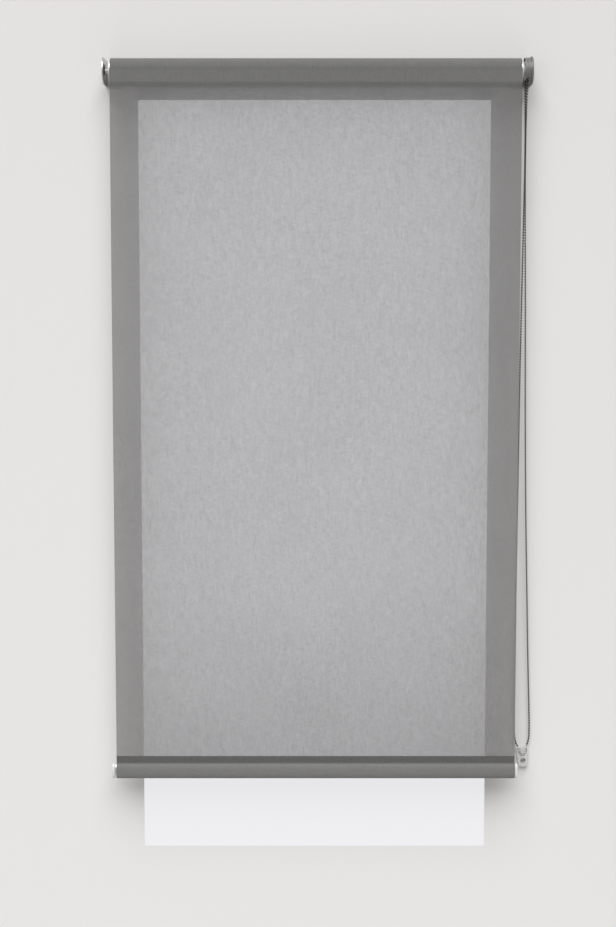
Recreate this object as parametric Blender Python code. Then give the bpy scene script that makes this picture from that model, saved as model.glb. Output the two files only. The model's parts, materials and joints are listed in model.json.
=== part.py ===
"""A wall-fixed roller blind with an endless bead chain, one object per piece.

Units are metres. The origin is on the wall, midway between the outer faces of the two
end brackets, at the height of the roller's axis. +X is to the right as seen from the
room, +Y goes into the wall and +Z is up. The blind is modelled fully lowered.
"""

import math

import bmesh
import bpy
from mathutils import Vector

# ---- driving sizes ----
FABRIC_WIDTH = 0.641
FABRIC_CENTRE_X = -0.0029
DROP = 1.124  # roller axis to the bottom of the bar
AXIS_TO_WALL = 0.038
TUBE_RADIUS = 0.0175
TUBE_WALL = 0.0012
WRAPS_THICKNESS = 0.0009  # the cloth that stays on the tube when fully lowered
FABRIC_THICKNESS = 0.0005
PLATE_HALF_HEIGHT = 0.0205
PLATE_THICKNESS = 0.0015
FOOT_WIDTH = 0.028
FOOT_TOP = 0.001
BAR_HEIGHT = 0.0222
BAR_DEPTH = 0.0086
BEAD_DIAMETER = 0.0032
BEAD_PITCH = 0.00435
POCKETS = 18
LEFT_END_SPACE = 0.0120  # cloth to the outside of the left plate
RIGHT_END_SPACE = 0.0160
WHEEL_SPACE = 0.0084  # cloth to the middle of the chain wheel

# ---- clearances and small edges ----
GAP = 0.0003  # between pieces that touch or run on each other
SLIP = 0.0006  # between a screw's shank and its hole
EDGE = 0.0004  # bevel on turned and moulded edges
OVERSHOOT = 0.002  # how far a cutter goes past what it cuts

# ---- places along X, from the fabric's two edges ----
FABRIC_LEFT = FABRIC_CENTRE_X - FABRIC_WIDTH / 2
FABRIC_RIGHT = FABRIC_CENTRE_X + FABRIC_WIDTH / 2
TUBE_OVERHANG = 0.0008
TUBE_LEFT = FABRIC_LEFT - TUBE_OVERHANG
TUBE_RIGHT = FABRIC_RIGHT + TUBE_OVERHANG
LEFT_PLATE_OUTER = FABRIC_LEFT - LEFT_END_SPACE
LEFT_PLATE_INNER = LEFT_PLATE_OUTER + PLATE_THICKNESS
RIGHT_PLATE_OUTER = FABRIC_RIGHT + RIGHT_END_SPACE
RIGHT_PLATE_INNER = RIGHT_PLATE_OUTER - PLATE_THICKNESS
WHEEL_X = FABRIC_RIGHT + WHEEL_SPACE
ROLL_RADIUS = TUBE_RADIUS + WRAPS_THICKNESS

# ---- end brackets ----
BEND_RADIUS = 0.003
BEND_OVERLAP = 0.002
RELIEF = 0.001
SLOT_WIDTH = 0.0080
SLOT_HEIGHT = 0.0125
SLOT_Z = 0.0015
PLATE_HOLE_RADIUS = 0.0022
PLATE_HOLE_Z = -0.0105
FOOT_SCREW_INSETS = (0.0100, 0.0210)
FOOT_SCREW_Z = -0.0100
COVER_LIP = 0.0009
COVER_FACE = 0.0015
COVER_LIP_DEPTH = 0.0016
PEG_RADIUS = PLATE_HOLE_RADIUS - GAP

# ---- wall screws ----
SHANK_RADIUS = 0.0019
HEAD_RADIUS = 0.0036
HEAD_HEIGHT = 0.0023
SCREW_LENGTH = 0.028
SCREW_POINT = 0.006
RECESS_ARM = 0.0021
RECESS_HALF_WIDTH = 0.00045
RECESS_DEPTH = 0.0011

# ---- idler end ----
INSERT_FLANGE = 0.0012
INSERT_MARGIN = 0.0020
INSERT_FLOOR = 0.0008
SEAT_OPENING = 0.0040  # the seat is open upwards by this much, to drop the pin in
PIN_TIP_RADIUS = 0.0023
PIN_RADIUS = 0.0030
PIN_COLLAR_RADIUS = 0.0041
PIN_STEM_RADIUS = 0.0019
PIN_REACH = 0.0035  # inside the plug, up to the collar
PIN_COLLAR_LENGTH = 0.0015
PIN_STEM_LENGTH = 0.0080
PLUG_LENGTH = 0.030
PLUG_FLOOR = 0.0040
PLUG_FLANGE = 0.0015
PLUG_FLANGE_RADIUS = TUBE_RADIUS - EDGE
PLUG_RIBS = 8
PLUG_RIB_SHARE = 0.3
PLUG_RIB_DEPTH = 0.0016
SPRING_WIRE = 0.0004
SPRING_RADIUS = 0.0031
SPRING_TURNS = 8

# ---- chain drive ----
HUB_RADIUS = 0.0055
HUB_FLANGE_RADIUS = 0.0090
HUB_FLANGE = 0.0010
WHEEL_BORE = HUB_RADIUS + GAP
WHEEL_NECK_WALL = 0.0019
WHEEL_NECK_RADIUS = WHEEL_BORE + WHEEL_NECK_WALL
WHEEL_NECK_REACH = 0.0030  # inside the cloth's right edge
PITCH_RADIUS = BEAD_PITCH / (2 * math.sin(math.pi / POCKETS))
GROOVE_HALF = 0.0021
GROOVE_RADIUS = PITCH_RADIUS - 0.0009
RIM_HALF = 0.0030
RIM_RADIUS = PITCH_RADIUS + 0.0023
POCKET_RADIUS = 0.0019
CHAIN_ARC_RADIUS = PITCH_RADIUS + 0.0011  # clears the ridges between the pockets
GUARD_ROOM = 0.0075  # pitch circle to the guard's outside
GUARD_RADIUS = round(PITCH_RADIUS + GUARD_ROOM, 4)  # to a tenth of a millimetre
GUARD_WALL = 0.0014
GUARD_SPACE = 0.0050  # cloth to the guard's open rim
GUARD_MOUTH_MARGIN = 0.0008  # beside the chain
GUARD_MOUTH_HALF = CHAIN_ARC_RADIUS + BEAD_DIAMETER / 2 + GUARD_MOUTH_MARGIN
GUARD_MOUTH_TOP = -0.0100
GUARD_GROOVE = (0.0036, 0.0052)  # from the open rim
GUARD_EYE_RADIUS = 0.0030
SLEEVE_BORE = WHEEL_NECK_RADIUS + GAP
SLEEVE_NECK_WALL = 0.0020
SLEEVE_NECK_RADIUS = SLEEVE_BORE + SLEEVE_NECK_WALL
SLEEVE_LENGTH = 0.034
SLEEVE_FLOOR = 0.0030
WASHER_RADIUS = 0.0072
WASHER_THICKNESS = 0.0008
RETAINING_BORE_RADIUS = 0.0018
RETAINING_SHANK_RADIUS = RETAINING_BORE_RADIUS - GAP
RETAINING_HEAD_RADIUS = 0.0029
RETAINING_HEAD_HEIGHT = 0.0022
RETAINING_DEPTH = 0.0095
WRAP_WIRE = 0.0005
WRAP_TURNS = 5
WRAP_LENGTH = 0.0110
WRAP_ENDS = (0.0045, 0.0175)  # from the cloth's right edge, outer spring first

# ---- bottom bar ----
BAR_WALL = 0.0012
BAR_LEFT_OVERHANG = 0.0024
CAP_LENGTH = 0.0042
CAP_EDGE = 0.0006
CAP_SPIGOT = 0.018
HEM_FIN = 0.0125  # double cloth between the bar and the weld
HEM_FIN_THICKNESS = 0.0010

# ---- chain hold-down on the wall ----
TENSIONER_TOP = -1.0875
TENSIONER_HEIGHT = 0.0305
TENSIONER_DEPTH = 0.0080
TENSIONER_TOP_SPAN = (-0.0004, 0.0200)  # from the chain wheel's middle
TENSIONER_FOOT_SPAN = (0.0050, 0.0190)
TENSIONER_CORNER = 0.0022
TENSIONER_SCREW_X = WHEEL_X + 0.0114
TENSIONER_SCREW_Z = TENSIONER_TOP - 0.0210
CHANNEL_HALF = 0.0021
CHANNEL_LEAD = 0.0050
CHANNEL_FLOOR_Y = -0.0030
CONNECTOR_RADIUS = 0.0014
CHAIN_END_Y = -0.0055

# ---- segment counts ----
ROUND = 48
SMALL_ROUND = 20
OVAL = 32
COIL_STEPS = 10  # per turn
RUN_POINTS = 60
CONNECTOR_POINTS = 16

# ---- the chain's two runs, wheel to wall ----
# Each point: distance right of the wheel, share of the way out from the wall that the
# run starts with, and share of its fall.
FRONT_RUN = [
    (0.0000, 1.000, 0.0000),
    (-0.0001, 0.974, 0.0273),
    (-0.0008, 0.918, 0.0825),
    (-0.0015, 0.852, 0.1470),
    (-0.0022, 0.770, 0.2299),
    (-0.0030, 0.679, 0.3220),
    (-0.0038, 0.570, 0.4325),
    (-0.0041, 0.462, 0.5430),
    (-0.0043, 0.354, 0.6535),
    (-0.0047, 0.254, 0.7548),
    (-0.0048, 0.154, 0.8561),
    (-0.0049, 0.076, 0.9344),
    (-0.0039, 0.030, 0.9713),
    (-0.0012, 0.009, 0.9915),
    (0.0030, 0.000, 1.0000),
]
BACK_RUN = [
    (0.0000, 1.000, 0.0000),
    (0.0003, 0.979, 0.0273),
    (0.0010, 0.926, 0.0826),
    (0.0020, 0.862, 0.1471),
    (0.0032, 0.778, 0.2301),
    (0.0049, 0.688, 0.3223),
    (0.0065, 0.582, 0.4329),
    (0.0083, 0.476, 0.5435),
    (0.0108, 0.365, 0.6541),
    (0.0138, 0.265, 0.7555),
    (0.0170, 0.164, 0.8569),
    (0.0199, 0.079, 0.9353),
    (0.0210, 0.037, 0.9703),
    (0.0203, 0.016, 0.9887),
    (0.0164, 0.000, 1.0000),
]
RUN_TOP = -0.0004
FRONT_RUN_END = 0.0013  # above the hold-down's top
BACK_RUN_END = 0.0023
# Each point of the connector: distance right of the wheel, height from the hold-down's top.
CONNECTOR_ROUTE = [
    (0.0033, 0.0007),
    (0.0043, -0.0045),
    (0.0065, -0.0093),
    (0.0102, -0.0117),
    (0.0139, -0.0093),
    (0.0156, -0.0045),
    (0.0163, 0.0017),
]

# ---- finishes: colour, roughness, metallic ----
FINISHES = {
    "chromed_steel": ((0.62, 0.62, 0.63), 0.18, 1.0),
    "zinc_steel": ((0.45, 0.45, 0.46), 0.35, 1.0),
    "spring_steel": ((0.40, 0.40, 0.42), 0.30, 1.0),
    "aluminium": ((0.72, 0.72, 0.73), 0.38, 1.0),
    "grey_plastic": ((0.24, 0.24, 0.23), 0.45, 0.0),
    "dark_plastic": ((0.03, 0.03, 0.03), 0.40, 0.0),
    "white_plastic": ((0.82, 0.82, 0.80), 0.35, 0.0),
    "clear_plastic": ((0.85, 0.86, 0.86), 0.10, 0.0),
    "grey_fabric": ((0.21, 0.21, 0.20), 0.90, 0.0),
    "bead_steel": ((0.09, 0.075, 0.07), 0.35, 0.8),
}


def clear_scene():
    for old in list(bpy.data.objects):
        bpy.data.objects.remove(old, do_unlink=True)


def finish(name):
    """The material of this name, made the first time it is asked for."""
    if name in bpy.data.materials:
        return bpy.data.materials[name]
    colour, roughness, metallic = FINISHES[name]
    made = bpy.data.materials.new(name)
    made.use_nodes = True
    shader = made.node_tree.nodes["Principled BSDF"]
    shader.inputs["Base Color"].default_value = (*colour, 1.0)
    shader.inputs["Roughness"].default_value = roughness
    shader.inputs["Metallic"].default_value = metallic
    return made


def link(name, data, slot, parent=None):
    made = bpy.data.objects.new(name, data)
    bpy.context.scene.collection.objects.link(made)
    if slot:
        data.materials.append(finish(slot))
    if parent:
        made.parent = parent
    return made


def empty(name, place):
    made = bpy.data.objects.new(name, None)
    bpy.context.scene.collection.objects.link(made)
    made.location = place
    return made


def mesh_from(name, points, faces):
    """A closed mesh with its faces turned outwards and its round stretches smooth."""
    mesh = bpy.data.meshes.new(name)
    mesh.from_pydata(points, [], faces)
    work = bmesh.new()
    work.from_mesh(mesh)
    bmesh.ops.recalc_face_normals(work, faces=work.faces)
    work.to_mesh(mesh)
    work.free()
    mesh.shade_smooth()
    mesh.set_sharp_from_angle(angle=math.radians(35))
    return mesh


def turned(name, profile, slot, parent, steps=ROUND):
    """Turns a closed outline of (along, radius) points round the local X axis."""
    points, rings = [], []
    for along, radius in profile:
        count = steps if radius > 0 else 1
        rings.append([len(points) + k for k in range(count)])
        for k in range(count):
            turn = math.tau * k / steps
            points.append((along, radius * math.cos(turn), radius * math.sin(turn)))
    faces = []
    for here, there in zip(rings, rings[1:] + rings[:1]):
        for k in range(steps):
            corners = [here[k % len(here)], here[(k + 1) % len(here)]]
            corners += [there[(k + 1) % len(there)], there[k % len(there)]]
            corners = list(dict.fromkeys(corners))
            if len(corners) > 2:
                faces.append(corners)
    return link(name, mesh_from(name, points, faces), slot, parent)


def pipe(start, end, outer, inner):
    """The turning profile of a plain tube."""
    return [(start, outer), (end, outer), (end, inner), (start, inner)]


def placed(point, along, axis):
    """A 2-D outline point in 3-D: X outlines are (y, z), Y ones (x, z) and Z ones (x, y)."""
    a, b = point
    return {"X": (along, a, b), "Y": (a, along, b), "Z": (a, b, along)}[axis]


def extruded(name, outline, axis, start, end, slot, parent=None):
    count = len(outline)
    points = [placed(p, start, axis) for p in outline]
    points += [placed(p, end, axis) for p in outline]
    faces = [list(range(count)), list(range(2 * count - 1, count - 1, -1))]
    for k in range(count):
        after = (k + 1) % count
        faces.append([k, after, count + after, count + k])
    return link(name, mesh_from(name, points, faces), slot, parent)


def hollow_extruded(name, outer, inner, axis, start, end, slot, parent=None):
    """An open-ended tube between two outlines with the same number of points."""
    count = len(outer)
    points = [placed(p, along, axis) for along in (start, end) for p in outer + inner]
    faces = []
    for k in range(count):
        after = (k + 1) % count
        faces.append([k, after, count + after, count + k])
        faces.append([2 * count + k, 2 * count + after, 3 * count + after, 3 * count + k])
        faces.append([k, after, 2 * count + after, 2 * count + k])
        faces.append([count + k, count + after, 3 * count + after, 3 * count + k])
    return link(name, mesh_from(name, points, faces), slot, parent)


def arc(centre, radius, first, last, steps):
    """Points of an arc, its angles in degrees from the outline's first axis."""
    points = []
    for k in range(steps + 1):
        turn = math.radians(first + (last - first) * k / steps)
        points.append(
            (centre[0] + radius * math.cos(turn), centre[1] + radius * math.sin(turn))
        )
    return points


def stadium(width, height, centre, steps=8):
    """An upright slot outline with round ends."""
    half = height / 2 - width / 2
    top = arc((centre[0], centre[1] + half), width / 2, 0, 180, steps)
    return top + arc((centre[0], centre[1] - half), width / 2, 180, 360, steps)


def oval(depth, height, centre, count=OVAL):
    """A flattened round outline: a superellipse with slightly fuller sides."""
    fullness = 2 / 2.4
    points = []
    for k in range(count):
        turn = math.tau * k / count
        across, up = math.cos(turn), math.sin(turn)
        points.append(
            (
                centre[0] + depth / 2 * math.copysign(abs(across) ** fullness, across),
                centre[1] + height / 2 * math.copysign(abs(up) ** fullness, up),
            )
        )
    return points


def rounded(corners, radius, steps=5):
    """A polygon with its corners rounded by quadratic blends."""
    points = []
    for k, corner in enumerate(corners):
        here = Vector(corner)
        before, after = Vector(corners[k - 1]), Vector(corners[(k + 1) % len(corners)])
        start = here + (before - here).normalized() * radius
        end = here + (after - here).normalized() * radius
        for step in range(steps + 1):
            t = step / steps
            blend = start * (1 - t) ** 2 + here * 2 * t * (1 - t) + end * t**2
            points.append((blend.x, blend.y))
    return points


def ribbed(outer, root, ribs, share, steps=2):
    """A round outline with raised ribs, for plugs that grip the inside of the tube."""
    points = []
    for k in range(ribs):
        middle = 360 * k / ribs
        half_rib = 180 * share / ribs
        half_gap = 180 * (1 - share) / ribs
        points += arc((0, 0), outer, middle - half_rib, middle + half_rib, steps)
        gap_middle = middle + 180 / ribs
        points += arc(
            (0, 0), root, gap_middle - half_gap + 2, gap_middle + half_gap - 2, steps
        )
    return points


def cut(target, cutter, operation="DIFFERENCE"):
    """Takes the cutter out of the target, or joins it on, and hides the cutter."""
    cutter.hide_render = True
    cutter.display_type = "WIRE"
    step = target.modifiers.new(cutter.name, "BOOLEAN")
    step.operation = operation
    step.solver = "EXACT"
    step.object = cutter


def soften(target, width):
    """Rounds the sharp edges of a moulded piece."""
    edge = target.modifiers.new("soft_edges", "BEVEL")
    edge.width = width
    edge.segments = 2
    edge.limit_method = "ANGLE"
    edge.angle_limit = math.radians(50)


def smooth_route(route, count):
    """Evenly spread points on a smooth curve through the route's own points."""
    knots = [Vector(p) for p in route]
    before = knots[0] * 2 - knots[1]
    after = knots[-1] * 2 - knots[-2]
    knots = [before, *knots, after]
    fine = []
    for a, b, c, d in zip(knots, knots[1:], knots[2:], knots[3:]):
        for step in range(24):
            t = step / 24
            fine.append(
                (
                    2 * b
                    + (c - a) * t
                    + (2 * a - 5 * b + 4 * c - d) * t**2
                    + (3 * b - a - 3 * c + d) * t**3
                )
                / 2
            )
    fine.append(knots[-2])
    lengths = [0.0]
    for a, b in zip(fine, fine[1:]):
        lengths.append(lengths[-1] + (b - a).length)
    points, at = [], 0
    for k in range(count):
        want = lengths[-1] * k / (count - 1)
        while at < len(fine) - 2 and lengths[at + 1] < want:
            at += 1
        share = (want - lengths[at]) / (lengths[at + 1] - lengths[at])
        points.append(fine[at].lerp(fine[at + 1], share))
    return points


def tube_along(name, points, radius, slot, parent=None):
    """A plain round tube along a line of points, as a curve with filled caps."""
    curve = bpy.data.curves.new(name, "CURVE")
    curve.dimensions = "3D"
    curve.bevel_depth = radius
    curve.bevel_resolution = 2
    curve.use_fill_caps = True
    spline = curve.splines.new("POLY")
    spline.points.add(len(points) - 1)
    for point, place in zip(spline.points, points):
        point.co = (*place, 1.0)
    return link(name, curve, slot, parent)


def coil(name, start, end, radius, wire, turns, slot, parent):
    """An open coil spring along the local X axis."""
    points = []
    steps = turns * COIL_STEPS
    for k in range(steps + 1):
        share = k / steps
        turn = math.tau * turns * share
        along = start + wire + (end - start - 2 * wire) * share
        points.append((along, radius * math.cos(turn), radius * math.sin(turn)))
    made = tube_along(name, points, wire, slot, parent)
    made.data.bevel_resolution = 0
    return made


def end_bracket(name, outer_x, inward):
    """A bent steel bracket: a side plate with a round nose and a foot on the wall."""

    def across(distance):
        return outer_x + inward * distance

    nose = arc((-AXIS_TO_WALL, 0.0), PLATE_HALF_HEIGHT, 90, 270, 20)
    outline = [(0.0, FOOT_TOP + RELIEF), (0.0, PLATE_HALF_HEIGHT), *nose]
    outline += [
        (-BEND_RADIUS, -PLATE_HALF_HEIGHT),
        (-BEND_RADIUS, FOOT_TOP),
        (-BEND_RADIUS, FOOT_TOP + RELIEF),
    ]
    plate = extruded(
        name, outline, "X", across(0.0), across(PLATE_THICKNESS), "chromed_steel"
    )
    reach = BEND_RADIUS + BEND_OVERLAP
    inner = BEND_RADIUS - PLATE_THICKNESS
    outer_bend = arc((BEND_RADIUS, -BEND_RADIUS), BEND_RADIUS, 90, 180, 6)
    inner_bend = arc((BEND_RADIUS, -BEND_RADIUS), inner, 180, 90, 6)
    section = [(FOOT_WIDTH, 0.0), *outer_bend, (0.0, -reach)]
    section += [(PLATE_THICKNESS, -reach), *inner_bend, (FOOT_WIDTH, -PLATE_THICKNESS)]
    section = [(across(x), y) for x, y in section]
    foot = extruded(
        name + "_foot_shape", section, "Z", -PLATE_HALF_HEIGHT, FOOT_TOP, None
    )
    cut(plate, foot, "UNION")
    ends = (across(-OVERSHOOT), across(PLATE_THICKNESS + OVERSHOOT))
    centre = (-AXIS_TO_WALL, SLOT_Z)
    slot = stadium(SLOT_WIDTH, SLOT_HEIGHT, centre)
    cut(plate, extruded(name + "_slot_cutter", slot, "X", *ends, None))
    hole = arc((-AXIS_TO_WALL, PLATE_HOLE_Z), PLATE_HOLE_RADIUS, 0, 337.5, 15)
    cut(plate, extruded(name + "_hole_cutter", hole, "X", *ends, None))
    for index, inset in enumerate(FOOT_SCREW_INSETS):
        centre = (across(inset), FOOT_SCREW_Z)
        hole = arc(centre, SHANK_RADIUS + SLIP / 2, 0, 337.5, 15)
        cutter_name = f"{name}_screw_cutter_{index}"
        ends = (-PLATE_THICKNESS - OVERSHOOT, OVERSHOOT)
        cut(plate, extruded(cutter_name, hole, "Y", *ends, None))
    return plate


def wall_screw(name, x, z, seat_y):
    """A pan-head screw driven into the wall, its head resting on the piece at seat_y."""
    axis = empty(name + "_axis", (x, seat_y, z))
    axis.rotation_euler.z = math.radians(90)
    crown = [
        (-GAP - HEAD_HEIGHT * math.sin(t), HEAD_RADIUS * math.cos(t) ** 0.5)
        for t in (math.radians(a) for a in (0, 30, 55, 75))
    ]
    profile = [(-GAP - HEAD_HEIGHT, 0.0), *reversed(crown)]
    profile += [(-GAP, SHANK_RADIUS), (SCREW_LENGTH - SCREW_POINT, SHANK_RADIUS)]
    profile += [(SCREW_LENGTH, 0.0)]
    screw = turned(name, profile, "zinc_steel", axis, SMALL_ROUND)
    arm, half = RECESS_ARM, RECESS_HALF_WIDTH
    quarter = [(arm, -half), (arm, half), (half, half)]
    cross = []
    for turn in range(4):
        for a, b in quarter:
            for _ in range(turn):
                a, b = -b, a
            cross.append((a, b))
    top = -GAP - HEAD_HEIGHT
    cutter = extruded(
        name + "_recess", cross, "X", top - OVERSHOOT, top + RECESS_DEPTH, None, axis
    )
    cut(screw, cutter)
    return screw


def plug_outline():
    """The ribbed outline of the plugs that fit in the tube's ends."""
    inside = TUBE_RADIUS - TUBE_WALL - GAP
    return ribbed(inside, inside - PLUG_RIB_DEPTH, PLUG_RIBS, PLUG_RIB_SHARE)


def left_end(axis):
    """The bare bracket, its black bearing insert, and the sprung pin in the tube's plug."""
    end_bracket("left_bracket", LEFT_PLATE_OUTER, 1)
    for place, inset in zip(("outer", "inner"), FOOT_SCREW_INSETS):
        wall_screw(
            f"left_wall_screw_{place}",
            LEFT_PLATE_OUTER + inset,
            FOOT_SCREW_Z,
            -PLATE_THICKNESS,
        )
    centre = (0.0, SLOT_Z)
    flange = stadium(
        SLOT_WIDTH + 2 * INSERT_MARGIN, SLOT_HEIGHT + 2 * INSERT_MARGIN, centre
    )
    face = LEFT_PLATE_INNER + GAP
    insert = extruded(
        "left_bearing_insert", flange, "X", face, face + INSERT_FLANGE,
        "dark_plastic", axis,
    )
    neck = stadium(SLOT_WIDTH - 2 * GAP, SLOT_HEIGHT - 2 * GAP, centre)
    neck_shape = extruded(
        "insert_neck_shape", neck, "X",
        LEFT_PLATE_OUTER + GAP, face + INSERT_FLANGE / 2, None, axis,
    )
    cut(insert, neck_shape, "UNION")
    tip_room = PIN_TIP_RADIUS + GAP
    seat = stadium(2 * tip_room, 2 * tip_room + SEAT_OPENING, (0.0, SEAT_OPENING / 2))
    floor = LEFT_PLATE_OUTER + INSERT_FLOOR
    seat_end = face + INSERT_FLANGE + OVERSHOOT
    cut(insert, extruded("insert_seat_cutter", seat, "X", floor, seat_end, None, axis))

    plug_outer = TUBE_LEFT - GAP - PLUG_FLANGE
    plug_inner = TUBE_LEFT + PLUG_LENGTH
    shoulder = face + INSERT_FLANGE + GAP
    collar = plug_outer + PIN_REACH
    collar_end = collar + PIN_COLLAR_LENGTH
    stem_end = collar_end + PIN_STEM_LENGTH
    pin = [(floor + GAP, 0.0), (floor + GAP, PIN_TIP_RADIUS - EDGE)]
    pin += [(floor + GAP + EDGE, PIN_TIP_RADIUS), (shoulder, PIN_TIP_RADIUS)]
    pin += [(shoulder, PIN_RADIUS), (collar, PIN_RADIUS), (collar, PIN_COLLAR_RADIUS)]
    pin += [(collar_end, PIN_COLLAR_RADIUS), (collar_end, PIN_STEM_RADIUS)]
    pin += [(stem_end, PIN_STEM_RADIUS), (stem_end, 0.0)]
    turned("idler_pin", pin, "white_plastic", axis, 24)

    spring_seat = plug_inner - PLUG_FLOOR
    coil(
        "idler_spring", collar_end + GAP, spring_seat - GAP, SPRING_RADIUS,
        SPRING_WIRE, SPRING_TURNS, "spring_steel", axis,
    )
    flange_end = TUBE_LEFT - GAP
    plug = extruded(
        "idler_plug", plug_outline(), "X",
        flange_end - EDGE, plug_inner, "white_plastic", axis,
    )
    flange = [(plug_outer, 0.0), (plug_outer, PLUG_FLANGE_RADIUS - EDGE)]
    flange += [(plug_outer + EDGE, PLUG_FLANGE_RADIUS)]
    flange += [(flange_end, PLUG_FLANGE_RADIUS), (flange_end, 0.0)]
    cut(plug, turned("plug_flange_shape", flange, None, axis), "UNION")
    mouth = plug_outer - OVERSHOOT
    bore = [(mouth, 0.0), (mouth, PIN_RADIUS + GAP)]
    bore += [(collar - GAP, PIN_RADIUS + GAP), (collar - GAP, PIN_COLLAR_RADIUS + GAP)]
    bore += [(spring_seat, PIN_COLLAR_RADIUS + GAP), (spring_seat, 0.0)]
    cut(plug, turned("plug_bore_cutter", bore, None, axis, 24))


def roller(axis):
    turned(
        "roller_tube",
        pipe(TUBE_LEFT, TUBE_RIGHT, TUBE_RADIUS, TUBE_RADIUS - TUBE_WALL),
        "aluminium", axis,
    )
    turned(
        "fabric_roll",
        pipe(FABRIC_LEFT, FABRIC_RIGHT, ROLL_RADIUS, TUBE_RADIUS + GAP),
        "grey_fabric", axis,
    )


def chain_wheel(axis):
    """The pocketed wheel, with a neck that drives the sleeve in the tube."""
    left, right = WHEEL_X - RIM_HALF, WHEEL_X + RIM_HALF
    neck = FABRIC_RIGHT - WHEEL_NECK_REACH
    profile = [(neck, WHEEL_BORE), (neck, WHEEL_NECK_RADIUS)]
    profile += [(left, WHEEL_NECK_RADIUS), (left, RIM_RADIUS - EDGE)]
    profile += [(left + EDGE, RIM_RADIUS), (WHEEL_X - GROOVE_HALF, RIM_RADIUS)]
    profile += [(WHEEL_X - GROOVE_HALF, GROOVE_RADIUS)]
    profile += [(WHEEL_X + GROOVE_HALF, GROOVE_RADIUS), (WHEEL_X + GROOVE_HALF, RIM_RADIUS)]
    profile += [(right - EDGE, RIM_RADIUS), (right, RIM_RADIUS - EDGE)]
    profile += [(right, WHEEL_BORE)]
    wheel = turned("chain_wheel", profile, "white_plastic", axis, 3 * POCKETS)
    points, faces = [], []
    for k in range(POCKETS):
        turn = math.tau * (k + 0.5) / POCKETS
        work = bmesh.new()
        bmesh.ops.create_icosphere(work, subdivisions=1, radius=POCKET_RADIUS)
        place = Vector(
            (WHEEL_X, PITCH_RADIUS * math.cos(turn), PITCH_RADIUS * math.sin(turn))
        )
        first = len(points)
        points += [tuple(vert.co + place) for vert in work.verts]
        faces += [[first + vert.index for vert in face.verts] for face in work.faces]
        work.free()
    cut(wheel, link("pocket_cutters", mesh_from("pockets", points, faces), None, axis))


def drive_sleeve(axis):
    """The ribbed sleeve that turns the tube, with a collar and a neck to the wheel."""
    inner_end = FABRIC_RIGHT - SLEEVE_LENGTH
    collar_start = TUBE_RIGHT + GAP
    collar_end = collar_start + PLUG_FLANGE
    sleeve = extruded(
        "drive_sleeve", plug_outline(), "X",
        inner_end, collar_start + EDGE, "white_plastic", axis,
    )
    neck_end = WHEEL_X - RIM_HALF - GAP
    collar = [(collar_start, 0.0), (collar_start, PLUG_FLANGE_RADIUS)]
    collar += [(collar_end - EDGE, PLUG_FLANGE_RADIUS)]
    collar += [(collar_end, PLUG_FLANGE_RADIUS - EDGE), (collar_end, SLEEVE_NECK_RADIUS)]
    collar += [(neck_end, SLEEVE_NECK_RADIUS), (neck_end, 0.0)]
    cut(sleeve, turned("sleeve_collar_shape", collar, None, axis), "UNION")
    floor = inner_end + SLEEVE_FLOOR
    start, end = inner_end - OVERSHOOT, neck_end + OVERSHOOT
    bore = [(start, 0.0), (start, WHEEL_BORE), (floor, WHEEL_BORE)]
    bore += [(floor, SLEEVE_BORE), (end, SLEEVE_BORE), (end, 0.0)]
    cut(sleeve, turned("sleeve_bore_cutter", bore, None, axis, 24))
    return inner_end


def fixed_hub(axis, inner_end):
    """The hub that hooks into the bracket's slot and carries the wheel and the springs."""
    flange = WHEEL_X + RIM_HALF + GAP
    flange_end = flange + HUB_FLANGE
    start = inner_end - GAP
    profile = [(start, 0.0), (start, HUB_RADIUS), (flange, HUB_RADIUS)]
    profile += [(flange, HUB_FLANGE_RADIUS), (flange_end, HUB_FLANGE_RADIUS)]
    profile += [(flange_end, 0.0)]
    hub = turned("clutch_hub", profile, "dark_plastic", axis, 32)
    boss = stadium(SLOT_WIDTH - 2 * GAP, SLOT_HEIGHT - 2 * GAP, (0.0, SLOT_Z))
    boss_start = flange_end - HUB_FLANGE / 2
    boss_shape = extruded(
        "hub_boss_shape", boss, "X", boss_start, RIGHT_PLATE_OUTER, None, axis
    )
    cut(hub, boss_shape, "UNION")
    bore_start, bore_end = start - OVERSHOOT, start + RETAINING_DEPTH + GAP
    bore = [(bore_start, 0.0), (bore_start, RETAINING_BORE_RADIUS)]
    bore += [(bore_end, RETAINING_BORE_RADIUS), (bore_end, 0.0)]
    cut(hub, turned("hub_screw_cutter", bore, None, axis, SMALL_ROUND))
    washer_end = start - GAP
    washer_start = washer_end - WASHER_THICKNESS
    turned(
        "retaining_washer",
        pipe(washer_start, washer_end, WASHER_RADIUS, RETAINING_BORE_RADIUS),
        "zinc_steel", axis, 24,
    )
    head = washer_start - GAP
    head_top = head - RETAINING_HEAD_HEIGHT
    tip = start + RETAINING_DEPTH
    screw = [(head_top, 0.0), (head_top, RETAINING_HEAD_RADIUS - EDGE)]
    screw += [(head_top + EDGE, RETAINING_HEAD_RADIUS), (head, RETAINING_HEAD_RADIUS)]
    screw += [(head, RETAINING_SHANK_RADIUS), (tip, RETAINING_SHANK_RADIUS), (tip, 0.0)]
    turned("retaining_screw", screw, "zinc_steel", axis, SMALL_ROUND)
    for place, inset in zip(("outer", "inner"), WRAP_ENDS):
        end = FABRIC_RIGHT - inset
        coil(
            f"wrap_spring_{place}", end - WRAP_LENGTH, end,
            HUB_RADIUS + GAP + WRAP_WIRE, WRAP_WIRE, WRAP_TURNS, "spring_steel", axis,
        )
    return flange_end


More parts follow.
